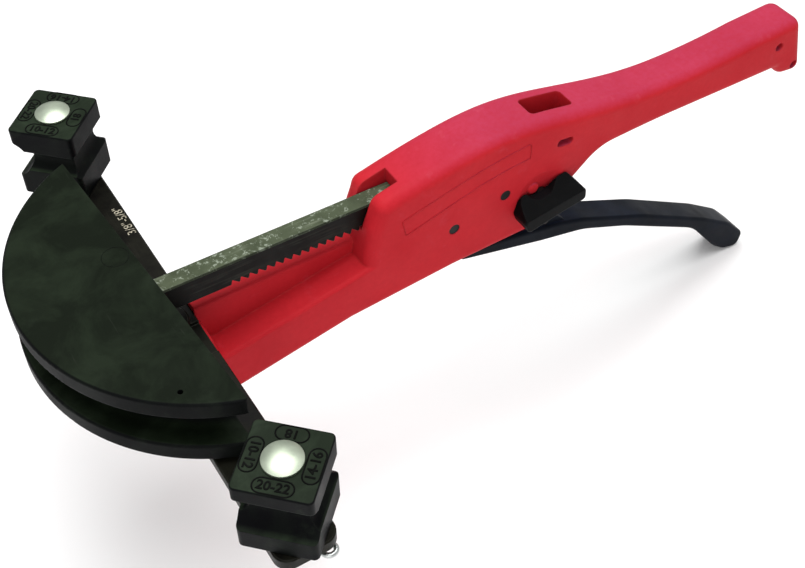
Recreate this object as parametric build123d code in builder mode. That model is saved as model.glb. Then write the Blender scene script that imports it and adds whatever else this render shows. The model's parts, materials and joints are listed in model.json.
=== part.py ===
"""One-hand ratchet tube bender, set up for 18 mm tube, its former run forward to the 90 degree bend.

+X runs from the handle to the former, +Z is up from the trigger to the body, and Y is across the tool,
so left is +Y. Side-view places are measured from the bend point: midway between the two block pins,
level with the block tops. The origin is under the middle of the tool, level with the lever's tip.
"""
import os
from math import cos, pi, radians, sin, sqrt

from build123d import *

# ---------------------------------------------------------------- driving dimensions, millimetres
bend_x = 159.565        # bend point ahead of the middle of the tool
bend_z = 178.972        # bend point above the lowest point of the lever
play = 0.3              # gap between parts that move past each other
fit = 0.05              # radial running clearance of a shaft in its bore

pin_y = 120.7           # block pins, either side of the middle
block_size = 33.5       # side of a square block
block_height = 40.0
block_pin_radius = 5.0
clip_z = -50.0          # retaining clips, below the arm
tube_z = -18.4          # plane of the bent tube, below the block tops
bend_radius = 84.6      # centreline radius of the bend
seat_radius = 9.1       # seat for 18 mm tube

arm_width = 28.0
arm_half_length = 138.5
arm_thickness = 6.0
arm_top = -block_height - play
arm_bottom = arm_top - arm_thickness
bolt_radius = 5.0
bolt_top = arm_top + 2.4
bolt_bottom = -80.0

former_x = -30.1        # centre of the former's arc
former_radius = 92.7
former_top = 0.3
former_bottom = 2 * tube_z - former_top
former_chord = 4.0      # straight rear edge, at the middle
former_skew = 3.7       # degrees the rear edge stands off square
former_tips = (-82.9, 87.4)     # the sharp tips are blunted here
former_pin_x = 20.0
former_pin_radius = 2.0
former_pin_bore = 1.1
former_pin_top = -10.0

rack_half = 5.05
rack_top = -13.4
rack_height = 13.5
rack_bottom = rack_top - rack_height
rack_rear = -190.0
rack_front = 30.0
tooth_pitch = 4.5
tooth_depth = 2.5
tooth_first = -33.0     # foremost tooth
tooth_count = 32
stop_pin = (-183.0, -20.0)
stop_pin_radius = 1.5
stop_pin_half = 7.5     # half length
rack_travel = (-76.5, 4.5)

body_half = 15.5        # half width of the main housing and the nose
grip_half = 12.3        # half width of the handle
cavity_half = 9.5       # half width of the lever's space
through = 20.0          # reach of a hole cut right through, from the middle
side_fillet = 6.0
front_fillet = 6.0
tunnel_half = rack_half + play
tunnel_top = rack_top + play
tunnel_bottom = rack_bottom - play
slot_rear = -121.0      # rear end of the open slot in the top of the body
nose_rear = (-98.0, -45.0)      # sloping top of the nose
nose_front = (-19.0, -61.0)
web_front = -arm_width / 2 - 0.2    # front of the web that stands on the nose, under the rack
web_foot = 4.0          # hollow where the web meets the nose
web_top = former_bottom - 0.5
ridge_half = 9.5        # half width of the web

pivot = (-147.8, -42.8)     # trigger lever pivot
hold_axis = (-178.0, -34.8) # holding pawl pivot
knob_axis = (-201.0, -46.0) # release shaft
drive_arm = 12.0            # lever pivot to drive pawl pin
lever_swing = 22.0          # degrees from open to closed
drive_axis = (
    pivot[0] - drive_arm * sin(radians(lever_swing / 2)),
    pivot[1] + drive_arm * cos(radians(lever_swing / 2)),
)
pawl_half = 2.7             # half width of both pawls and the cam
fork_half = 3.2             # half width of the lever's fork slot
web_half = 6.5              # half width of the lever's web
blade_half = 9.0            # half width of the lever's finger blade
pin_radius = 3.0            # lever and holding pawl pins
drive_pin_radius = 1.6
shaft_radius = 3.95         # release shaft
cam_radius = 6.0
cam_flat = 1.5              # height of the flat above the shaft's axis
hanging_holes = ((-359.5, -17.5), (-375.0, -35.0))
hang_radius = 2.5
index_dome = (-196.0, -39.6)    # dome in the thumb dish that sits in the knob's notch
dome_radius = 3.5
dome_face = 15.3
spring_well = (-194.0, -29.4)   # top of the pocket for the holding pawl's spring
shaft_end = 20.0
clip_groove = (-16.75, -15.75)  # groove in the release shaft, across the tool
groove_radius = shaft_radius - 0.8
cam_pin_radius = 1.0
lever_stud = (-212.3, -77.0)    # short pin across the lever's web
lever_stud_radius = 1.5

os.makedirs("parts", exist_ok=True)


def at(point):
    """A side-view point, given from the bend point."""
    return (bend_x + point[0], bend_z + point[1])


def path(*points):
    return [at(point) for point in points]


def level(z):
    """The horizontal plane at a height given from the bend point, its centre on the pin line."""
    return Plane((bend_x, 0, bend_z + z))


def across(y=0.0):
    """The side-view plane at a distance across the tool."""
    return Plane.XZ.offset(-y)


def save(part, name):
    part.label = name
    export_step(part, f"parts/{name}.step")


def disc(point, radius, y_from, y_to, mode=Mode.ADD):
    """A round bar or hole across the tool, between two distances from the middle."""
    with BuildSketch(across(y_to)) as face:
        with Locations(at(point)):
            Circle(radius)
    extrude(face.sketch, amount=y_to - y_from, mode=mode)


def post(x, y, radius, z_from, z_to, mode=Mode.ADD):
    """An upright round bar or hole."""
    with BuildSketch(level(z_from)) as face:
        with Locations((x, y)):
            Circle(radius)
    extrude(face.sketch, amount=z_to - z_from, mode=mode)


def slab(x_from, x_to, y_half, z_from, z_to, mode=Mode.ADD):
    """A block centred on the tool's middle plane."""
    with BuildSketch(level(z_from)) as face:
        with Locations(((x_from + x_to) / 2, 0)):
            Rectangle(x_to - x_from, 2 * y_half)
    extrude(face.sketch, amount=z_to - z_from, mode=mode)


def spring_path(radius, pitch, turns, first_leg, last_leg):
    """Points along a coil wound down its own +Z axis, with a straight leg off each end."""
    steps = 8
    run = []
    for index in range(int(steps * turns) + 1):
        angle = 2 * pi * index / steps
        run.append((radius * cos(angle), radius * sin(angle), -pitch * index / steps))
    last = 2 * pi * int(steps * turns) / steps
    start = [(run[0][0], -first_leg * part, run[0][2]) for part in (1.0, 0.5)]
    end = [
        (run[-1][0] - last_leg * part * sin(last), run[-1][1] + last_leg * part * cos(last), run[-1][2])
        for part in (0.5, 1.0)
    ]
    return (start if first_leg else []) + run + (end if last_leg else [])


# ---------------------------------------------------------------- body casting
top_line = path(
    (-107, -9.0), (-140, -1.1), (-180, 3.5), (-222, -2.0), (-262, -8.2), (-300, -9.2), (-340, -6.0),
)
lower_line = path(
    (-340, -6.0), (-373, -4.0), (-383.3, -42.3), (-368, -40.5), (-362, -34.3), (-238.6, -34.3),
    (-195, -69.2), (-149, -70.6), (-89, -75.6), (-6, -92.2), (14, -84), (14, arm_bottom),
    (-16, arm_bottom), nose_front, nose_rear, (-101.5, -24), (-107.0, -9.0),
)
lower_radii = [7, 4.5, 3, 3, 25, 4, 60, 30, 10, 12, 0, 0, 4, 0, 15]
cavity_line = path(
    (-131, -26), (-131, -46), (-142, -82), (-252, -82), (-252, -34.3), (-186, -34.3), (-186, -26),
)
dish_radius = 16.0      # thumb dish round the knob
dish_depth = 2.4
dish_ball = (dish_radius**2 + dish_depth**2) / (2 * dish_depth)

# web that stands on the nose under the rack, level on top so that the former can pass over it
nose_slope = Vector(nose_rear[0] - nose_front[0], 0, nose_rear[1] - nose_front[1])
web_start = Vector(bend_x + nose_front[0], 0, bend_z + nose_front[1]) - nose_slope * 0.14
web_length = 105.0
foot_mid = web_foot * (1 - sqrt(0.5))
with BuildPart() as web:
    with BuildSketch(Plane(web_start, x_dir=(0, -1, 0), z_dir=nose_slope)):
        with BuildLine():
            Line((0, -1), (ridge_half + web_foot, -1))
            Line((ridge_half + web_foot, -1), (ridge_half + web_foot, 0))
            ThreePointArc(
                (ridge_half + web_foot, 0), (ridge_half + foot_mid, foot_mid), (ridge_half, web_foot),
            )
            Line((ridge_half, web_foot), (ridge_half, 45))
            Line((ridge_half, 45), (0, 45))
            Line((0, 45), (0, -1))
        make_face()
        mirror(about=Plane.XZ)
    extrude(amount=web_length)
    slab(-200, 20, body_half, web_top, 20, Mode.SUBTRACT)
    slab(web_front, 20, body_half, arm_bottom, 20, Mode.SUBTRACT)
    fillet(web.faces().sort_by(Axis.Z)[-1].edges().filter_by(Axis.X), 1.6)

with BuildPart() as body_casting:
    with BuildSketch(across()):
        with BuildLine():
            Spline(*top_line)
            FilletPolyline(*lower_line, radius=lower_radii)
        make_face()
    extrude(amount=body_half, both=True)
    with BuildSketch(level(-100)):
        with BuildLine():
            Line((20, body_half), (-190, body_half))
            Spline((-190, body_half), (-290, grip_half), tangents=[(-1, 0), (-1, 0)])
            Line((-290, grip_half), (-390, grip_half))
            Line((-390, grip_half), (-390, 0))
            Line((-390, 0), (20, 0))
            Line((20, 0), (20, body_half))
        make_face()
        mirror(about=Plane.XZ)
    extrude(amount=120, mode=Mode.INTERSECT)
    # rounded edges: right round the handle and the nose's underside, then the front face and the nose's top
    for edge_radius, rear, front, low, high in (
        (side_fillet, -400, -130, -14, 10), (front_fillet, -107, -97, -45.5, -10), (2.0, -97, -17, -62, -45),
    ):
        fillet(body_casting.edges().filter_by(
            lambda e: abs(e.center().Y) > 11 and abs((e @ 0).Y + (e @ 1).Y) > 1
            and rear < e.center().X - bend_x < front and low < e.center().Z - bend_z < high
        ), edge_radius)
    add(web.part)
    # rack slot, open at the top, and the tunnel behind it
    slab(slot_rear, 20, tunnel_half + 0.25, tunnel_bottom, 20, Mode.SUBTRACT)
    slab(-268.5, slot_rear + 1, tunnel_half, tunnel_bottom, tunnel_top, Mode.SUBTRACT)
    # groove that lets the rack's stop pin travel
    slab(stop_pin[0] + rack_travel[0] - 2.5, stop_pin[0] + rack_travel[1] + 2.5, 8.2, stop_pin[1] - 1.9,
         stop_pin[1] + 1.9, Mode.SUBTRACT)
    # space for the lever and the pawls, open below, with a pocket for the holding pawl's spring
    with BuildSketch(across()):
        with BuildLine():
            Polyline(*cavity_line, close=True)
        make_face()
    extrude(amount=cavity_half, both=True, mode=Mode.SUBTRACT)
    post(spring_well[0], 0, 2.8, -36, spring_well[1] + 0.4, Mode.SUBTRACT)
    # window over the rack
    with BuildSketch(level(tunnel_top - 1)):
        with Locations((-210, 0)):
            RectangleRounded(26, 12.5, 2.5)
    extrude(amount=30, mode=Mode.SUBTRACT)
    # oblong side holes, pin holes and hanging holes
    with BuildSketch(across()):
        with Locations(at((-213.3, -16.2))):
            SlotOverall(10, 4.4, rotation=8)
    extrude(amount=through, both=True, mode=Mode.SUBTRACT)
    disc(pivot, pin_radius, -through, through, Mode.SUBTRACT)
    disc(hold_axis, pin_radius, -through, through, Mode.SUBTRACT)
    disc(knob_axis, shaft_radius + fit, -through, through, Mode.SUBTRACT)
    for hole in hanging_holes:
        disc(hole, hang_radius, -through, through, Mode.SUBTRACT)
    post(0, 0, bolt_radius, bolt_bottom, arm_bottom, Mode.SUBTRACT)
    # thumb dish, and the index dome that sits in the knob's notch
    with Locations((bend_x + knob_axis[0], body_half - dish_depth + dish_ball, bend_z + knob_axis[1])):
        Sphere(dish_ball, mode=Mode.SUBTRACT)
    disc(index_dome, dome_radius, 12.0, dome_face)
    fillet(body_casting.edges().filter_by(GeomType.CIRCLE).filter_by(
        lambda e: abs(e.center().Y - dome_face) < 0.01 and abs(e.radius - dome_radius) < 0.01
    ), 1.6)
    disc(knob_axis, shaft_radius + fit, 12.0, through, Mode.SUBTRACT)
save(body_casting.part, "body_casting")

# ---------------------------------------------------------------- cross-arm and its bolt
with BuildPart() as cross_arm:
    with BuildSketch(level(arm_bottom)):
        RectangleRounded(arm_width, 2 * arm_half_length, 7)
        with Locations((0, pin_y), (0, -pin_y)):
            Circle(block_pin_radius + fit, mode=Mode.SUBTRACT)
        Circle(bolt_radius, mode=Mode.SUBTRACT)
    extrude(amount=arm_thickness)
    chamfer(cross_arm.faces().sort_by(Axis.Z)[-1].outer_wire().edges(), 0.6)
    # shallow recess in the rear edge, beside the bolt
    with BuildSketch(level(arm_top - 2.0)):
        with Locations((-arm_width / 2, 15.5)):
            Rectangle(12, 21)
    extrude(amount=3, mode=Mode.SUBTRACT)
save(cross_arm.part, "cross_arm")

with BuildPart() as arm_bolt:
    post(0, 0, 11.0, arm_top, bolt_top)
    chamfer(arm_bolt.faces().sort_by(Axis.Z)[-1].edges(), 0.9)
    post(0, 0, bolt_radius, bolt_bottom, arm_top)
    with BuildSketch(level(bolt_top)):
        RegularPolygon(3.0, 6, major_radius=False)
    extrude(amount=-6, mode=Mode.SUBTRACT)
save(arm_bolt.part, "arm_bolt")

# ---------------------------------------------------------------- swivelling blocks
seats = [
    (225, seat_radius, 5.0),    # 18, facing the tool
    (45, 11.1, 3.1),            # 20 to 22, facing away
    (315, 6.1, 1.1),            # 10 to 12
    (135, 8.1, 3.1),            # 14 to 16
]
for name, side in (("left_block", 1), ("right_block", -1)):
    with BuildPart() as block:
        with BuildSketch(level(-block_height)):
            with Locations(Location((0, side * pin_y, 0), (0, 0, 45))):
                RectangleRounded(block_size, block_size, 2.5)
        extrude(amount=block_height)
        fillet(block.faces().sort_by(Axis.Z)[-1].edges(), 0.8)
        fillet(block.faces().sort_by(Axis.Z)[0].edges(), 0.5)
        post(0, side * pin_y, block_pin_radius + fit, -block_height - 1, 1, Mode.SUBTRACT)
        for angle, radius, outside in seats:
            facing = Vector(cos(radians(angle)), side * sin(radians(angle)), 0)
            centre = Vector(bend_x, side * pin_y, bend_z + tube_z) + facing * (block_size / 2 + outside)
            with BuildSketch(Plane(centre, x_dir=facing, z_dir=facing.cross(Vector(0, 0, 1)))):
                Circle(radius)
            extrude(amount=block_size, both=True, mode=Mode.SUBTRACT)
    save(block.part, name)

# ---------------------------------------------------------------- block pins, washers and clips
clip_angle = 110.0      # direction of the left clip's eye
clip_wire = 2.5
hook = block_pin_radius + clip_wire / 2 + 0.9   # middle of the hooked leg, off the pin's axis
washer_radius = 9.0
washer_thickness = 1.5
head_radius = 8.5       # domed pin heads: a thin rim with a dome on it
head_rim = 1.0
dome_rise = 2.3
head_top = play + head_rim + dome_rise
head_ball = (head_radius**2 + dome_rise**2) / (2 * dome_rise)
head_mid = head_top - head_ball + sqrt(head_ball**2 - head_radius**2 / 4)
pin_end = -55.5
for side, label in ((1, "left"), (-1, "right")):
    with BuildPart() as block_pin:
        eye = Vector(cos(radians(clip_angle)), side * sin(radians(clip_angle)), 0)
        with BuildSketch(Plane((bend_x, side * pin_y, bend_z), x_dir=(1, 0, 0), z_dir=(0, -1, 0))):
            with BuildLine():
                Polyline((0, head_top), (0, pin_end), (block_pin_radius - 1, pin_end),
                         (block_pin_radius, pin_end + 1), (block_pin_radius, play), (head_radius, play),
                         (head_radius, play + head_rim))
                ThreePointArc((head_radius, play + head_rim), (head_radius / 2, head_mid), (0, head_top))
            make_face()
        revolve(axis=Axis((bend_x, side * pin_y, 0), (0, 0, 1)))
        with BuildSketch(Plane((bend_x, side * pin_y, bend_z + clip_z), z_dir=eye)):
            Circle(clip_wire / 2)
        extrude(amount=12, both=True, mode=Mode.SUBTRACT)
    save(block_pin.part, f"{label}_block_pin")

    with BuildPart() as pin_washer:
        with BuildSketch(level(arm_bottom - washer_thickness)):
            with Locations((0, side * pin_y)):
                Circle(washer_radius)
                Circle(block_pin_radius, mode=Mode.SUBTRACT)
        extrude(amount=washer_thickness)
    save(pin_washer.part, f"{label}_pin_washer")

    # spring clip: one straight leg through the pin, an eye, and a leg that hooks round the pin
    wire_plane = Plane((bend_x, side * pin_y, bend_z + clip_z), x_dir=eye, z_dir=(0, 0, side))
    with BuildPart() as r_clip:
        with BuildLine(wire_plane):
            FilletPolyline(
                (-10, 0), (20.2, 0), (20.2, 6.4), (9, 3.4), (3.5, hook), (-3.5, hook), (-9, 4.6),
                radius=[3.1, 2.4, 4, 4, 4],
            )
        with BuildSketch(Plane(wire_plane.from_local_coords((-10, 0, 0)), z_dir=eye)):
            Circle(clip_wire / 2)
        sweep()
    save(r_clip.part, f"{label}_r_clip")

# ---------------------------------------------------------------- former
former_profile = [
    (0, former_top), (former_radius, former_top), (former_radius, tube_z + seat_radius),
    (bend_radius, tube_z + seat_radius), (bend_radius, tube_z - seat_radius),
    (former_radius, tube_z - seat_radius), (former_radius, former_bottom), (0, former_bottom),
]
with BuildPart() as former:
    with BuildSketch(across()) as section:
        with BuildLine():
            outline = [(bend_x + former_x + r, bend_z + z) for r, z in former_profile]
            Polyline(*outline, close=True)
        make_face()
        with Locations((bend_x + former_x + bend_radius, bend_z + tube_z)):
            Circle(seat_radius, mode=Mode.SUBTRACT)
        fillet(section.vertices().filter_by(
            lambda v: abs(v.X - (bend_x + former_x + former_radius)) < 0.01
        ), 1.4)
    revolve(axis=Axis((bend_x + former_x, 0, 0), (0, 0, 1)))
    with BuildSketch(level(former_bottom - 1)):
        with Locations(Location((former_chord, 0, 0), (0, 0, former_skew))):
            Rectangle(100, 200, align=(Align.MIN, Align.CENTER))
        with Locations((0, sum(former_tips) / 2)):
            Rectangle(200, former_tips[1] - former_tips[0], mode=Mode.INTERSECT)
    extrude(amount=45, mode=Mode.INTERSECT)
    # pockets in the underside, with a rib between each pair
    for y_near, y_far in ((13, 31), (36, 52)):
        for side in (1, -1):
            with BuildSketch(level(former_bottom)):
                with Locations((former_x, 0)):
                    Circle(69.5)
                with Locations((former_chord + 7 + 40, side * (y_near + y_far) / 2)):
                    Rectangle(80, y_far - y_near, mode=Mode.INTERSECT)
            extrude(amount=30, mode=Mode.SUBTRACT)
    # socket for the rack, its pin, and the small locating holes on top
    slab(former_chord - 1, rack_front, rack_half, rack_bottom, rack_top, Mode.SUBTRACT)
    post(former_pin_x, 0, former_pin_radius, former_bottom, former_pin_top, Mode.SUBTRACT)
    post(19.3, 70.7, 1.2, former_top - 4, former_top, Mode.SUBTRACT)
save(former.part, "former")

with BuildPart() as former_pin:
    post(former_pin_x, 0, former_pin_radius, former_bottom + 0.5, former_pin_top)
    post(former_pin_x, 0, former_pin_bore, former_bottom, former_pin_top, Mode.SUBTRACT)
    slab(former_pin_x, former_pin_x + 3, 0.3, former_bottom, 0, Mode.SUBTRACT)
save(former_pin.part, "former_pin")

# ---------------------------------------------------------------- rack
root = rack_bottom + tooth_depth
with BuildPart() as rack:
    with BuildSketch(across()):
        with BuildLine():
            teeth = []
            for index in range(tooth_count):
                x = tooth_first - tooth_pitch * index
                teeth += [(x + 4.1, root), (x + 1.4, rack_bottom), (x + 0.7, rack_bottom), (x, root)]
            teeth[0] = (tooth_first + 2.0, rack_bottom)
            profile = [(rack_front, rack_top), (rack_front, rack_bottom)] + teeth
            profile += [(rack_rear, root), (rack_rear, rack_top)]
            Polyline(*path(*profile), close=True)
        make_face()
    extrude(amount=rack_half, both=True)
    chamfer(rack.edges().filter_by(Axis.X).filter_by(
        lambda e: e.center().Z > bend_z + rack_top - 0.1
    ), 0.7)
    post(former_pin_x, 0, former_pin_radius, rack_bottom - 1, rack_top + 1, Mode.SUBTRACT)
    disc(stop_pin, stop_pin_radius, -8, 8, Mode.SUBTRACT)
save(rack.part, "rack")

with BuildPart() as rack_stop_pin:
    disc(stop_pin, stop_pin_radius, -stop_pin_half, stop_pin_half)
save(rack_stop_pin.part, "rack_stop_pin")

# ---------------------------------------------------------------- trigger lever
blade_line = path(
    (-157, -76.5), (-210, -90), (-239, -96.3), (-271, -110.3), (-329, -142.1), (-351.7, -169.6),
    (-361.0, -176.8), (-373.0, -180.0), (-375.6, -169.5), (-362, -154.8), (-338.5, -138.8),
    (-285, -108.5), (-238, -87.4), (-222, -82.2), (-180, -74.0), (-160, -71.5), (-157, -76.5),
)
blade_radii = [1.5, 60, 60, 80, 40, 30, 12, 4.5, 5.0, 30, 60, 90, 60, 40, 60, 1.5]
web_line = path(
    (-141.2, -40.2), (-150, -66), (-157, -76), (-200, -84), (-232, -90), (-226, -83), (-217, -73.5),
    (-209, -69.5), (-201, -73), (-196, -72), (-192, -69.5), (-177.5, -52), (-153.0, -38.2),
    (-153.2, -31.5), (-147.0, -30.4),
)
fork_line = path((-125, -20), (-125, -58), (-152, -58), (-197, -74), (-230, -74), (-230, -20))
with BuildPart() as trigger_lever:
    with BuildSketch(across()):
        with BuildLine():
            FilletPolyline(*blade_line[:-1], radius=blade_radii, close=True)
        make_face()
    extrude(amount=blade_half, both=True)
    fillet(trigger_lever.edges().filter_by(
        lambda e: abs(abs(e.center().Y) - blade_half) < 0.01 and e.center().X < bend_x - 160
    ), 2.0)
    with BuildSketch(across()):
        with BuildLine():
            Polyline(*web_line, close=True)
        make_face()
        with Locations(at(pivot)):
            Circle(7.0)
        with Locations(at(drive_axis)):
            Circle(3.2)
    extrude(amount=web_half, both=True)
    with BuildSketch(across()):
        with BuildLine():
            Polyline(*fork_line, close=True)
        make_face()
    extrude(amount=fork_half, both=True, mode=Mode.SUBTRACT)
    disc(pivot, pin_radius + fit, -10, 10, Mode.SUBTRACT)
    disc(drive_axis, drive_pin_radius, -10, 10, Mode.SUBTRACT)
    disc(lever_stud, lever_stud_radius, -10, 10, Mode.SUBTRACT)
save(trigger_lever.part, "trigger_lever")

with BuildPart() as drive_pawl_pin:
    disc(drive_axis, drive_pin_radius, -web_half, web_half)
save(drive_pawl_pin.part, "drive_pawl_pin")

with BuildPart() as lever_spring_pin:
    disc(lever_stud, lever_stud_radius, -8.0, 8.0)
save(lever_spring_pin.part, "lever_spring_pin")

with BuildPart() as lever_pivot_pin:
    disc(pivot, pin_radius, -body_half + 0.3, body_half - 0.3)
save(lever_pivot_pin.part, "lever_pivot_pin")

# return spring: a coil round the pivot pin, one leg on the fork's floor, one under the drive pawl
spring_wire = 1.2
spring_radius = 3.9
spring_turns = 3.125
spring_pitch = 1.25
spring_legs = (7.6, 12.0)
with BuildPart() as lever_return_spring:
    spring_top = (bend_x + pivot[0], spring_pitch * spring_turns / 2, bend_z + pivot[1])
    with BuildLine(Plane(spring_top, x_dir=(1, 0, 0), z_dir=(0, 1, 0))):
        wire = Spline(*spring_path(spring_radius, spring_pitch, spring_turns, *spring_legs))
    with BuildSketch(Plane(wire @ 0, z_dir=wire % 0)):
        Circle(spring_wire / 2)
    sweep()
save(lever_return_spring.part, "lever_return_spring")

# ---------------------------------------------------------------- pawls
with BuildPart() as drive_pawl:
    with BuildSketch(across()):
        with BuildLine():
            Polyline(*path((-150.1, -28.0), (-142, -28.4), (-137.4, -27.5), (-137.4, -29.2), (-143, -32.4),
                           (-150.1, -34.0)), close=True)
        make_face()
        with Locations(at(drive_axis)):
            Circle(3.0)
    extrude(amount=pawl_half, both=True)
    disc(drive_axis, drive_pin_radius + fit, -5, 5, Mode.SUBTRACT)
save(drive_pawl.part, "drive_pawl")

hold_line = path(
    (-164.2, -25.1), (-163.1, -28.8), (-165.5, -32.0), (-174.5, -39.0), (-182.0, -41.0), (-188, -43.75),
    (-203.5, -43.75), (-203.5, -40.2), (-190, -40.2), (-183.4, -33.4), (-177.0, -29.4), (-168.0, -28.6),
)
with BuildPart() as hold_pawl:
    with BuildSketch(across()):
        with BuildLine():
            Polyline(*hold_line, close=True)
        make_face()
        with Locations(at(hold_axis)):
            Circle(5.5)
    extrude(amount=pawl_half, both=True)
    disc(hold_axis, pin_radius + fit, -5, 5, Mode.SUBTRACT)
save(hold_pawl.part, "hold_pawl")

with BuildPart() as hold_pawl_pin:
    disc(hold_axis, pin_radius, -body_half + 0.3, body_half - 0.3)
save(hold_pawl_pin.part, "hold_pawl_pin")

with BuildPart() as hold_pawl_spacers:
    disc(hold_axis, 4.2, -cavity_half, cavity_half)
    disc(hold_axis, 6.0, -pawl_half - play, pawl_half + play, Mode.SUBTRACT)
    disc(hold_axis, pin_radius, -10, 10, Mode.SUBTRACT)
save(hold_pawl_spacers.part, "hold_pawl_spacers")

with BuildPart() as hold_pawl_spring:
    with BuildLine(Plane((bend_x + spring_well[0], 0, bend_z + spring_well[1]))):
        wire = Spline(*spring_path(1.9, 2.1, 5, 0, 0))
    with BuildSketch(Plane(wire @ 0, z_dir=wire % 0)):
        Circle(0.35)
    sweep()
save(hold_pawl_spring.part, "hold_pawl_spring")

# ---------------------------------------------------------------- release knob, shaft and cam
notch_half = 3.1        # half length of the flat cut in the shaft
knob_back = body_half + play
knob_front = 27.0
knob_line = path(
    (-183.5, -49.5), (-185.6, -42.6), (-189.4, -39.0), (-193.0, -41.8), (-196.5, -42.4), (-203, -41.2),
    (-209.8, -37.0), (-214.6, -35.4), (-221.0, -43.0), (-221.4, -49.2), (-205.0, -52.0), (-186.0, -56.4),
)
knob_radii = [4.0, 3.0, 3.0, 4.0, 3.0, 8.0, 8.0, 3.5, 3.0, 2.5, 20, 2.5]
with BuildPart() as release_knob:
    with BuildSketch(across(knob_front)):
        with BuildLine():
            FilletPolyline(*knob_line, radius=knob_radii, close=True)
        make_face()
    extrude(amount=knob_front - knob_back)
    fillet(release_knob.faces().sort_by(Axis.Y)[-1].outer_wire().edges(), 1.0)
    # the thumb face slopes down to the outer side
    with BuildSketch(Plane((bend_x - 203, knob_front, bend_z - 44.9), z_dir=(0.158, 0.625, 1))):
        Rectangle(120, 120)
    extrude(amount=30, mode=Mode.SUBTRACT)
    disc(knob_axis, shaft_radius, knob_back - 1, shaft_end, Mode.SUBTRACT)
save(release_knob.part, "release_knob")

with BuildPart() as release_shaft:
    disc(knob_axis, shaft_radius, -18.0, shaft_end)
    disc(knob_axis, shaft_radius + 1, *clip_groove, Mode.SUBTRACT)
    disc(knob_axis, groove_radius, -18.0, shaft_end)
    with BuildSketch(across(notch_half)):
        with Locations(at((knob_axis[0], knob_axis[1] + cam_flat + 5))):
            Rectangle(12, 10)
    extrude(amount=2 * notch_half, mode=Mode.SUBTRACT)
    post(knob_axis[0], 0, cam_pin_radius, knob_axis[1] - 5, knob_axis[1] + 5, Mode.SUBTRACT)
save(release_shaft.part, "release_shaft")

with BuildPart() as release_cam:
    disc(knob_axis, cam_radius, -pawl_half, pawl_half)
    disc(knob_axis, shaft_radius, -pawl_half, pawl_half, Mode.SUBTRACT)
    with BuildSketch(across(pawl_half)):
        with Locations(at((knob_axis[0], knob_axis[1] + cam_flat + 5))):
            Rectangle(14, 10)
    extrude(amount=2 * pawl_half, mode=Mode.SUBTRACT)
    post(knob_axis[0], 0, cam_pin_radius, knob_axis[1] - 7, knob_axis[1], Mode.SUBTRACT)
save(release_cam.part, "release_cam")

with BuildPart() as cam_pin:
    post(knob_axis[0], 0, cam_pin_radius, knob_axis[1] - 5.8, knob_axis[1] + cam_flat)
save(cam_pin.part, "cam_pin")

with BuildPart() as release_clip:
    disc(knob_axis, 5.6, *clip_groove)
    disc(knob_axis, groove_radius, -17, -15, Mode.SUBTRACT)
    with BuildSketch(across(-15.5)):
        with Locations(at((knob_axis[0] - 5, knob_axis[1]))):
            Rectangle(8, 4)
    extrude(amount=1.5, mode=Mode.SUBTRACT)
save(release_clip.part, "release_clip")
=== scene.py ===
"""Looks of the ratchet tube bender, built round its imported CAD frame. Metres throughout."""

import json
import math

import bmesh
import bpy
from mathutils import Matrix, Vector


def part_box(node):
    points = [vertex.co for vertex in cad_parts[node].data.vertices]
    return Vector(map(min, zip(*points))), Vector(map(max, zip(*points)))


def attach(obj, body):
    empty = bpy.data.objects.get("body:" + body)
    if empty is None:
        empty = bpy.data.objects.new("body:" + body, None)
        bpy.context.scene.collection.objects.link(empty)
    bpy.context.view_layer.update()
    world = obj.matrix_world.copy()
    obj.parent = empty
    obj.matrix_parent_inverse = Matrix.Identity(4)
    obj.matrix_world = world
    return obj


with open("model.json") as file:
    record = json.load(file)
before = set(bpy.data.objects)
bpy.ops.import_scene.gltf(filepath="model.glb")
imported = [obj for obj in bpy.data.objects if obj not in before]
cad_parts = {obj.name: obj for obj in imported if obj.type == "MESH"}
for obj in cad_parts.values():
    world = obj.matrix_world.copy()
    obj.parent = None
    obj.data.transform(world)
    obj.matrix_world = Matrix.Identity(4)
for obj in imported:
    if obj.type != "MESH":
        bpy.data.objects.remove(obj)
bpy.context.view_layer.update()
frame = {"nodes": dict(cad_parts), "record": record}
nodes = frame["nodes"]
MM = 0.001

# ---------------------------------------------------------------- places read from the frame
left_low, left_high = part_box("left_block")
bend = Vector(((left_low.x + left_high.x) / 2, 0.0, left_high.z))   # level with the block tops
pin_y = (left_low.y + left_high.y) / 2
arm_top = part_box("cross_arm")[1].z
body_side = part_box("body_casting")[1].y
former_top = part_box("former")[1].z


def at(x, y, z):
    """A point given in millimetres from the bend point, as metres in the frame."""
    return bend + Vector((x, y, z)) * MM


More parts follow.
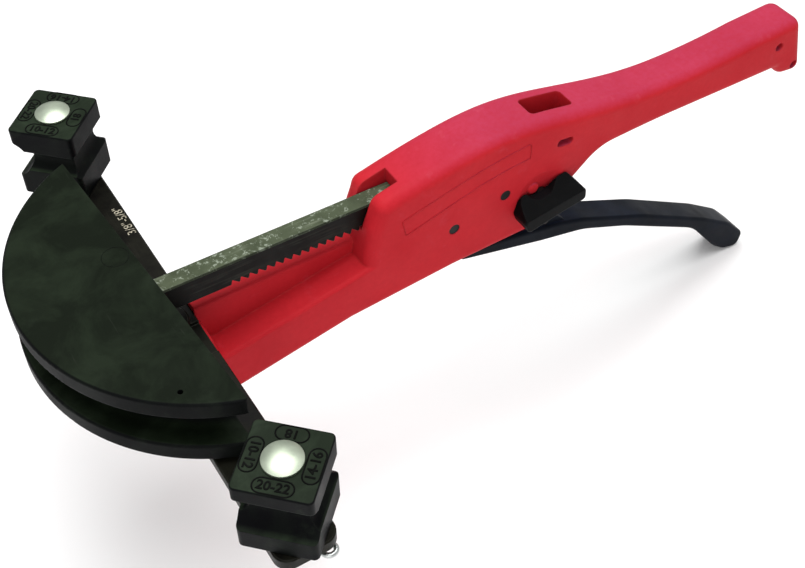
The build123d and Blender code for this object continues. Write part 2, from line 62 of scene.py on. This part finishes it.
# ---------------------------------------------------------------- materials
class Graph:
    """A material's node tree, with short calls for the nodes used here."""

    def __init__(self, name):
        self.material = bpy.data.materials.new(name)
        self.material.use_nodes = True
        self.tree = self.material.node_tree
        self.tree.nodes.clear()
        self.output = self.tree.nodes.new("ShaderNodeOutputMaterial")
        self.shader = self.tree.nodes.new("ShaderNodeBsdfPrincipled")
        self.link(self.shader.outputs[0], self.output.inputs[0])
        self.place = self.node("ShaderNodeTexCoord").outputs["Object"]

    def node(self, kind, **settings):
        made = self.tree.nodes.new(kind)
        for key, value in settings.items():
            setattr(made, key, value)
        return made

    def link(self, output, socket):
        self.tree.links.new(output, socket)

    def put(self, socket, value):
        if isinstance(value, bpy.types.NodeSocket):
            self.link(value, socket)
        else:
            socket.default_value = value

    def math(self, operation, a, b=0.5):
        made = self.node("ShaderNodeMath", operation=operation)
        self.put(made.inputs[0], a)
        self.put(made.inputs[1], b)
        return made.outputs[0]

    def ramp(self, value, low, high, to_low=0.0, to_high=1.0):
        made = self.node("ShaderNodeMapRange", clamp=True)
        for socket, number in zip(made.inputs, (value, low, high, to_low, to_high)):
            self.put(socket, number)
        return made.outputs[0]

    def mix(self, share, a, b):
        made = self.node("ShaderNodeMix", data_type="RGBA")
        self.put(made.inputs[0], share)
        self.put(made.inputs[6], (*a, 1.0) if isinstance(a, tuple) else a)
        self.put(made.inputs[7], (*b, 1.0) if isinstance(b, tuple) else b)
        return made.outputs[2]

    def stretched(self, scale=(1, 1, 1), turn=(0, 0, 0)):
        made = self.node("ShaderNodeMapping")
        self.link(self.place, made.inputs[0])
        made.inputs["Rotation"].default_value = turn
        made.inputs["Scale"].default_value = scale
        return made.outputs[0]

    def noise(self, scale, detail=3.0, rough=0.55, place=None, distortion=0.0):
        made = self.node("ShaderNodeTexNoise")
        self.link(place or self.place, made.inputs["Vector"])
        made.inputs["Scale"].default_value = scale
        made.inputs["Detail"].default_value = detail
        made.inputs["Roughness"].default_value = rough
        made.inputs["Distortion"].default_value = distortion
        return made.outputs[0]

    def edges(self, radius, low, high):
        """1 on convex and concave edges, 0 on open faces, with the softened normal beside it."""
        soft = self.node("ShaderNodeBevel", samples=4)
        soft.inputs["Radius"].default_value = radius
        geometry = self.node("ShaderNodeNewGeometry")
        dot = self.node("ShaderNodeVectorMath", operation="DOT_PRODUCT")
        self.link(soft.outputs[0], dot.inputs[0])
        self.link(geometry.outputs["Normal"], dot.inputs[1])
        return self.ramp(dot.outputs["Value"], high, low), soft.outputs[0]

    def facing_up(self, low, high):
        """0 on sides, 1 on faces that look up."""
        split = self.node("ShaderNodeSeparateXYZ")
        self.link(self.node("ShaderNodeNewGeometry").outputs["Normal"], split.inputs[0])
        return self.ramp(split.outputs[2], low, high)

    def along_x(self, low, high):
        """0 at one x of the part, 1 at another."""
        split = self.node("ShaderNodeSeparateXYZ")
        self.link(self.place, split.inputs[0])
        return self.ramp(split.outputs[0], low, high)

    def bump(self, heights, normal=None):
        """Stacks (height, distance, strength) bumps and joins them to the shader."""
        for height, distance, strength in heights:
            made = self.node("ShaderNodeBump")
            made.inputs["Distance"].default_value = distance
            made.inputs["Strength"].default_value = strength
            self.link(height, made.inputs["Height"])
            if normal is not None:
                self.link(normal, made.inputs["Normal"])
            normal = made.outputs[0]
        self.link(normal, self.shader.inputs["Normal"])

    def scratches(self, along, density, low, high, turn=(0, 0, 0)):
        """Fine lines along one axis: 1 on a scratch, 0 elsewhere."""
        scale = [density, density, density]
        scale[along] = density * 0.03
        lines = self.noise(1.0, 4.0, 0.6, self.stretched(tuple(scale), turn), 0.35)
        broken = self.ramp(self.noise(70, 2.0), 0.45, 0.65)
        return self.math("MULTIPLY", self.ramp(lines, low, high), broken)


def red_enamel():
    """Red paint on the casting, with a painted pink sheen on the faces along the grip that look up, rubbed
    along its edges.
    """
    g = Graph("red_enamel")
    # painted sheen: faces that look up along the grip get a paler, pinker copy of the red, standing in for
    # light reflected off them
    up = g.math("MULTIPLY", g.facing_up(0.35, 0.95), g.along_x(0.055, -0.01))
    cloud = g.ramp(g.noise(22, 3), 0.3, 0.7)
    side = g.mix(cloud, (0.43, 0.013, 0.020), (0.50, 0.018, 0.026))
    # the paler pink top colour is a painted sheen, not a colour of the paint
    lit_top = g.mix(cloud, (0.36, 0.026, 0.058), (0.41, 0.034, 0.074))
    colour = g.mix(up, side, lit_top)
    colour = g.mix(g.ramp(g.noise(420, 2), 0.35, 0.75, 0.0, 0.30), colour, (0.36, 0.010, 0.016))
    edge, normal = g.edges(0.0014, 0.80, 0.97)
    worn = g.math("MULTIPLY", edge, g.ramp(g.noise(160, 4), 0.45, 0.7, 0.10, 0.55))
    colour = g.mix(worn, colour, (0.62, 0.055, 0.05))
    rub = g.ramp(g.noise(95, 5, 0.65), 0.60, 0.75)
    rub = g.math("MULTIPLY", rub, g.ramp(up, 0.0, 1.0, 0.15, 0.35))
    colour = g.mix(rub, colour, (0.50, 0.08, 0.12))
    g.put(g.shader.inputs["Base Color"], colour)
    g.put(g.shader.inputs["Roughness"], g.ramp(g.noise(60, 4), 0.3, 0.75, 0.46, 0.62))
    g.shader.inputs["Specular IOR Level"].default_value = 0.06
    g.bump([(g.noise(55, 2), 0.0009, 0.10), (g.noise(900, 2), 0.00006, 0.35)], normal)
    return g.material


def black_nylon(name, side, lit_top, rough_low, rough_high, scuff):
    """Moulded black plastic: dark sides, a painted lighter greenish sheen on faces that lie flat with dusty
    patches in it, rubbed edges.
    """
    g = Graph(name)
    up = g.facing_up(0.86, 0.98)
    cloud = g.noise(38, 5, 0.65, None, 0.5)
    # flat tops take the lighter top colour: a painted sheen, with the sides as the shaded copy
    colour = g.mix(up, side, lit_top)
    # lighter patches on flat tops: part dust, part painted sheen
    dust_and_sheen = tuple(0.002 + 2.4 * channel for channel in lit_top)
    dust_and_sheen_patches = g.math("MULTIPLY", g.ramp(cloud, 0.44, 0.66), g.ramp(up, 0.0, 1.0, 0.12, 0.75))
    colour = g.mix(dust_and_sheen_patches, colour, dust_and_sheen)
    rub = g.math("MULTIPLY", g.ramp(g.noise(85, 5, 0.65), 0.55, 0.74), 0.45 * scuff)
    colour = g.mix(rub, colour, tuple(0.006 + 2.2 * channel for channel in lit_top))
    marks = g.math("MULTIPLY", g.scratches(1, 900, 0.66, 0.73, (0, 0, 0.5)), 0.35 * scuff)
    colour = g.mix(marks, colour, (0.05, 0.055, 0.045))
    edge, normal = g.edges(0.0009, 0.78, 0.97)
    worn = g.math("MULTIPLY", edge, g.ramp(g.noise(240, 4), 0.4, 0.7, 0.05, 0.5))
    colour = g.mix(worn, colour, tuple(0.025 + 2.0 * channel for channel in lit_top))
    g.put(g.shader.inputs["Base Color"], colour)
    g.put(g.shader.inputs["Roughness"], g.ramp(g.noise(45, 4), 0.3, 0.7, rough_low, rough_high))
    g.shader.inputs["Specular IOR Level"].default_value = 0.045
    g.bump([(g.noise(1400, 2), 0.00007, 0.5), (g.noise(40, 2), 0.0006, 0.12)], normal)
    return g.material


def rack_steel():
    """Dark steel with a painted olive sheen on the faces that look up, chipped and scratched along its
    length.
    """
    g = Graph("rack_steel")
    up = g.facing_up(0.6, 0.95)
    cloud = g.ramp(g.noise(60, 4, 0.65), 0.3, 0.7)
    side = g.mix(cloud, (0.0025, 0.002, 0.0018), (0.007, 0.0066, 0.0055))
    # the lighter olive colour on faces that look up is a painted sheen; the dark colour is the steel's own
    lit_top = g.mix(cloud, (0.040, 0.050, 0.028), (0.080, 0.098, 0.058))
    colour = g.mix(up, side, lit_top)
    streak = g.scratches(0, 700, 0.52, 0.66)
    bare = g.math("MULTIPLY", streak, g.ramp(up, 0.0, 1.0, 0.06, 0.45))
    colour = g.mix(bare, colour, (0.24, 0.27, 0.20))
    chips = g.ramp(g.noise(330, 5, 0.7, None, 0.6), 0.56, 0.62)
    chips = g.math("MULTIPLY", chips, g.ramp(up, 0.0, 1.0, 0.0, 0.7))
    colour = g.mix(chips, colour, (0.30, 0.34, 0.27))
    edge, normal = g.edges(0.0006, 0.80, 0.97)
    worn = g.math("MULTIPLY", edge, g.ramp(g.noise(300, 3), 0.35, 0.65, 0.1, 0.6))
    colour = g.mix(worn, colour, (0.16, 0.18, 0.14))
    g.put(g.shader.inputs["Base Color"], colour)
    g.shader.inputs["Metallic"].default_value = 0.25
    g.shader.inputs["Specular IOR Level"].default_value = 0.10
    g.put(g.shader.inputs["Roughness"], g.ramp(g.noise(110, 5), 0.3, 0.75, 0.36, 0.58))
    g.bump([(streak, 0.00004, 0.4), (g.noise(700, 3), 0.00005, 0.35)], normal)
    return g.material


def arm_steel():
    """Blackened flat steel, rubbed lighter along its edges."""
    g = Graph("arm_steel")
    cloud = g.noise(45, 5, 0.65)
    colour = g.mix(g.ramp(cloud, 0.35, 0.65), (0.003, 0.0026, 0.0024), (0.011, 0.011, 0.007))
    rub = g.scratches(1, 420, 0.54, 0.64)
    colour = g.mix(g.math("MULTIPLY", rub, 0.25), colour, (0.045, 0.042, 0.032))
    edge, normal = g.edges(0.0007, 0.78, 0.97)
    worn = g.math("MULTIPLY", edge, g.ramp(g.noise(260, 3), 0.35, 0.65, 0.1, 0.6))
    colour = g.mix(worn, colour, (0.075, 0.075, 0.06))
    g.put(g.shader.inputs["Base Color"], colour)
    g.shader.inputs["Metallic"].default_value = 0.2
    g.shader.inputs["Specular IOR Level"].default_value = 0.08
    g.put(g.shader.inputs["Roughness"], g.ramp(g.noise(90, 4), 0.3, 0.7, 0.32, 0.52))
    g.bump([(g.noise(600, 3), 0.00006, 0.4)], normal)
    return g.material


def bright_metal(name, dark, light, rough_low, rough_high, metallic, spots, level):
    """Plain or plated metal with slight clouding and fine pits."""
    g = Graph(name)
    colour = g.mix(g.ramp(g.noise(120, 4, 0.6), 0.3, 0.7), dark, light)
    pits = g.ramp(g.noise(650, 3), 0.64, 0.74, 0.0, spots)
    colour = g.mix(pits, colour, tuple(channel * 0.6 for channel in dark))
    edge, normal = g.edges(0.0004, 0.80, 0.97)
    polished = tuple(min(1.0, channel * 1.3) for channel in light)
    colour = g.mix(g.math("MULTIPLY", edge, 0.4), colour, polished)
    g.put(g.shader.inputs["Base Color"], colour)
    g.shader.inputs["Metallic"].default_value = metallic
    g.shader.inputs["Specular IOR Level"].default_value = level
    g.put(g.shader.inputs["Roughness"], g.ramp(g.noise(200, 4), 0.3, 0.7, rough_low, rough_high))
    g.bump([(g.scratches(0, 1200, 0.5, 0.7), 0.00002, 0.2), (g.noise(500, 2), 0.00002, 0.15)], normal)
    return g.material


def mark_paint():
    """Pale printed marks, worn through in places."""
    g = Graph("mark_paint")
    worn = g.ramp(g.noise(900, 4, 0.7), 0.38, 0.62)
    colour = g.mix(worn, (0.10, 0.09, 0.06), (0.55, 0.50, 0.38))
    g.put(g.shader.inputs["Base Color"], colour)
    g.put(g.shader.inputs["Roughness"], g.ramp(g.noise(300, 3), 0.3, 0.7, 0.5, 0.75))
    g.bump([(g.noise(1200, 2), 0.00004, 0.4)], g.edges(0.0002, 0.8, 0.97)[1])
    return g.material


# name: colour of the sides, colour of flat tops (lighter, a painted sheen), roughness from and to, share of
# scuffs
NYLONS = {
    "former_nylon": ((0.0022, 0.0026, 0.0028), (0.0042, 0.0070, 0.0034), 0.42, 0.60, 0.6),
    "block_nylon": ((0.0020, 0.0022, 0.0028), (0.0100, 0.0155, 0.0088), 0.38, 0.55, 0.6),
    "lever_nylon": ((0.0030, 0.0044, 0.0075), (0.0052, 0.0082, 0.0165), 0.38, 0.54, 0.25),
    "knob_nylon": ((0.0022, 0.0024, 0.0026), (0.0040, 0.0046, 0.0054), 0.34, 0.50, 0.25),
    "number_nylon": ((0.0012, 0.0013, 0.0013), (0.0016, 0.0020, 0.0015), 0.5, 0.7, 0.2),
}
# name: dark and light colour, roughness from and to, metallic, share of pits, specular level
METALS = {
    "zinc": ((0.42, 0.48, 0.38), (0.56, 0.63, 0.50), 0.36, 0.50, 1.0, 0.06, 0.5),
    "spring_steel": ((0.34, 0.36, 0.36), (0.55, 0.57, 0.56), 0.28, 0.42, 1.0, 0.35, 0.5),
    "dark_steel": ((0.004, 0.0038, 0.0038), (0.014, 0.013, 0.012), 0.36, 0.54, 0.2, 0.3, 0.15),
}
looks = {
    "red_enamel": red_enamel(),
    "rack_steel": rack_steel(),
    "arm_steel": arm_steel(),
    "mark_paint": mark_paint(),
}
for name, values in NYLONS.items():
    looks[name] = black_nylon(name, *values)
for name, values in METALS.items():
    looks[name] = bright_metal(name, *values)
node_looks = {
    "body_casting": "red_enamel", "cross_arm": "arm_steel", "arm_bolt": "arm_steel",
    "rack": "rack_steel", "former": "former_nylon", "left_block": "block_nylon", "right_block": "block_nylon",
    "trigger_lever": "lever_nylon", "release_knob": "knob_nylon", "lever_spring_pin": "dark_steel",
}
slot_of = {row["node"]: row["material_slot"] for row in frame["record"]["subparts"]}
for name, node in nodes.items():
    look = looks[node_looks.get(name) or slot_of[name]]     # the rest go by the record's metal
    node.data.materials.clear()
    node.data.materials.append(look)


# ---------------------------------------------------------------- helpers for added pieces
def mesh_piece(name, mesh, look, body):
    """Makes a mesh a piece of its own, which moves with a body."""
    piece = bpy.data.objects.new(name, mesh)
    bpy.context.scene.collection.objects.link(piece)
    mesh.materials.clear()
    mesh.materials.append(looks[look])
    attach(piece, body)
    return piece


def curve_mesh(curve, matrix):
    """The mesh of a curve or text, placed by a matrix."""
    holder = bpy.data.objects.new("holder", curve)
    bpy.context.scene.collection.objects.link(holder)
    bpy.context.view_layer.update()
    made = bpy.data.meshes.new_from_object(holder.evaluated_get(bpy.context.evaluated_depsgraph_get()))
    bpy.data.objects.remove(holder)
    made.transform(matrix)
    return made


def joined(name, meshes):
    """Several meshes as one, with doubled points merged."""
    work = bmesh.new()
    for mesh in meshes:
        work.from_mesh(mesh)
    bmesh.ops.remove_doubles(work, verts=work.verts, dist=1e-6)
    made = bpy.data.meshes.new(name)
    work.to_mesh(made)
    work.free()
    return made


def raised_text(words, size, depth, rounding):
    """Words lying flat and centred on the origin, with their edges rounded."""
    text = bpy.data.curves.new("words", "FONT")
    text.body = words
    text.size = size
    text.align_x, text.align_y = "CENTER", "CENTER"
    text.extrude = depth / 2
    text.bevel_depth = rounding
    text.bevel_resolution = 1
    text.resolution_u = 3
    return text


def raised_line(points, radius):
    """A closed round ridge through points."""
    curve = bpy.data.curves.new("ridge", "CURVE")
    curve.dimensions = "3D"
    curve.bevel_depth = radius
    curve.bevel_resolution = 2
    spline = curve.splines.new("POLY")
    spline.points.add(len(points) - 1)
    for point, place in zip(spline.points, points):
        point.co = (*place, 1.0)
    spline.use_cyclic_u = True
    return curve


def pill(length, height, steps=8):
    """A rounded outline lying flat, with half-round ends, centred on the origin."""
    radius, run = height / 2, length / 2 - height / 2
    points = []
    for side in (1, -1):
        for index in range(steps + 1):
            angle = -math.pi / 2 + math.pi * index / steps
            points.append((side * (run + radius * math.cos(angle)), side * radius * math.sin(angle), 0.0))
    return points


# ---------------------------------------------------------------- size numbers on the blocks
SIDES = (("18", 225), ("20-22", 45), ("10-12", 315), ("14-16", 135))   # tube sizes, and where each side faces
number_reach = 12.5 * MM        # from the pin to the middle of a number
number_size = 5.7 * MM
border_height = 6.9 * MM
short_border, long_border = 13.5 * MM, 16.5 * MM
for side, block in ((1, "left_block"), (-1, "right_block")):
    meshes = []
    for words, angle in SIDES:
        facing = math.atan2(side * math.sin(math.radians(angle)), math.cos(math.radians(angle)))
        centre = bend + Vector((0.0, side * pin_y, 0.0))
        centre += number_reach * Vector((math.cos(facing), math.sin(facing), 0.0))
        placed = Matrix.Translation(centre) @ Matrix.Rotation(facing + math.pi / 2, 4, "Z")
        meshes.append(curve_mesh(raised_text(words, number_size, 0.40 * MM, 0.12 * MM), placed))
        length = short_border if words == "18" else long_border
        meshes.append(curve_mesh(raised_line(pill(length, border_height), 0.34 * MM), placed))
    mesh_piece(block + "_numbers", joined(block + "_numbers", meshes), "number_nylon", block)

# ---------------------------------------------------------------- size marks on the cross-arm
# they read toward -Y, with the tops of the letters toward +X
reading = Matrix(((0, 1, 0, 0), (-1, 0, 0, 0), (0, 0, 1, 0), (0, 0, 0, 1)))
marks_centre = at(-10.9, -74.3, 0)
marks_centre.z = arm_top + 0.02 * MM
marks = curve_mesh(
    raised_text('3/8"-5/8"', 6.2 * MM, 0.05 * MM, 0.0), Matrix.Translation(marks_centre) @ reading
)
mesh_piece("arm_size_marks", marks, "mark_paint", "frame")

# ---------------------------------------------------------------- low border cast on both sides of the body
BORDER = (
    (-120.5, -32.2), (-134.7, -28.2), (-149.0, -24.1), (-163.1, -20.4), (-178.0, -17.8), (-190.6, -16.8),
    (-191.6, -16.2), (-191.6, -8.2), (-190.6, -7.4), (-178.0, -8.6), (-163.1, -11.0), (-149.0, -14.2),
    (-134.7, -17.8), (-118.5, -22.0), (-117.8, -22.8), (-119.6, -31.6),
)
border_y = body_side / MM - 0.05        # the ridge is sunk a little into the side
borders = [
    curve_mesh(raised_line([at(x, side * border_y, z) for x, z in BORDER], 0.38 * MM), Matrix())
    for side in (1, -1)
]
mesh_piece("body_side_borders", joined("body_side_borders", borders), "red_enamel", "frame")

# ---------------------------------------------------------------- ejector ring moulded in the former's top
ring_centre = at(12.2, -12.6, 0)
ring_centre.z = former_top - 0.10 * MM
ring_radius = 6.0 * MM
ring = [
    ring_centre + ring_radius * Vector((math.cos(turn), math.sin(turn), 0.0))
    for turn in (math.tau * index / 40 for index in range(40))
]
ring_mesh = curve_mesh(raised_line(ring, 0.22 * MM), Matrix())
mesh_piece("former_ejector_ring", ring_mesh, "former_nylon", "rack")

# ---------------------------------------------------------------- camera at the photograph's viewing angle
camera_data = bpy.data.cameras.new("camera")
camera = bpy.data.objects.new("camera", camera_data)
bpy.context.scene.collection.objects.link(camera)
camera_place = Vector((0.260471, 0.374919, 0.565876))
forward = Vector((-0.35366, -0.58216, -0.73213)).normalized()
down = Vector((0.38727, 0.62134, -0.68114))
right = down.cross(forward).normalized()
up = right.cross(forward).normalized()
camera.matrix_world = Matrix((
    (right.x, up.x, -forward.x, camera_place.x),
    (right.y, up.y, -forward.y, camera_place.y),
    (right.z, up.z, -forward.z, camera_place.z),
    (0, 0, 0, 1),
))
camera_data.sensor_width = 36.0
camera_data.lens = 55.33
camera_data.clip_start = 0.01
camera_data.clip_end = 20.0
bpy.context.scene.camera = camera

# ---------------------------------------------------------------- floor, light and sky
floor_mesh = bpy.data.meshes.new("floor")
half = 4.0
corners = [(-half, -half, 0), (half, -half, 0), (half, half, 0), (-half, half, 0)]
floor_mesh.from_pydata(corners, [], [(0, 1, 2, 3)])
floor = bpy.data.objects.new("floor", floor_mesh)
bpy.context.scene.collection.objects.link(floor)
pale = Graph("pale_floor")
pale_cloud = pale.ramp(pale.noise(3, 3), 0.3, 0.7)
pale.put(pale.shader.inputs["Base Color"], pale.mix(pale_cloud, (0.90, 0.90, 0.90), (0.93, 0.93, 0.93)))
pale.shader.inputs["Roughness"].default_value = 0.7
floor_mesh.materials.append(pale.material)


LIT_POINT = (0.0, 0.0, 0.1)


def area_light(name, place, size, power):
    """A soft square lamp that looks at the tool."""
    data = bpy.data.lights.new(name, "AREA")
    data.shape = "RECTANGLE"
    data.size, data.size_y = size
    data.energy = power
    lamp = bpy.data.objects.new(name, data)
    bpy.context.scene.collection.objects.link(lamp)
    lamp.location = place
    lamp.rotation_euler = (Vector(LIT_POINT) - Vector(place)).to_track_quat("-Z", "Y").to_euler()
    return lamp


area_light("overhead", (0.05, -0.10, 1.5), (1.3, 1.3), 24.0)
area_light("front_fill", (1.0, 1.5, 0.9), (1.2, 1.2), 9.0)
world = bpy.data.worlds.new("studio")
bpy.context.scene.world = world
world.use_nodes = True
world.node_tree.nodes["Background"].inputs[0].default_value = (1.0, 1.0, 1.0, 1.0)
world.node_tree.nodes["Background"].inputs[1].default_value = 0.55
bpy.context.scene.view_settings.view_transform = "Standard"
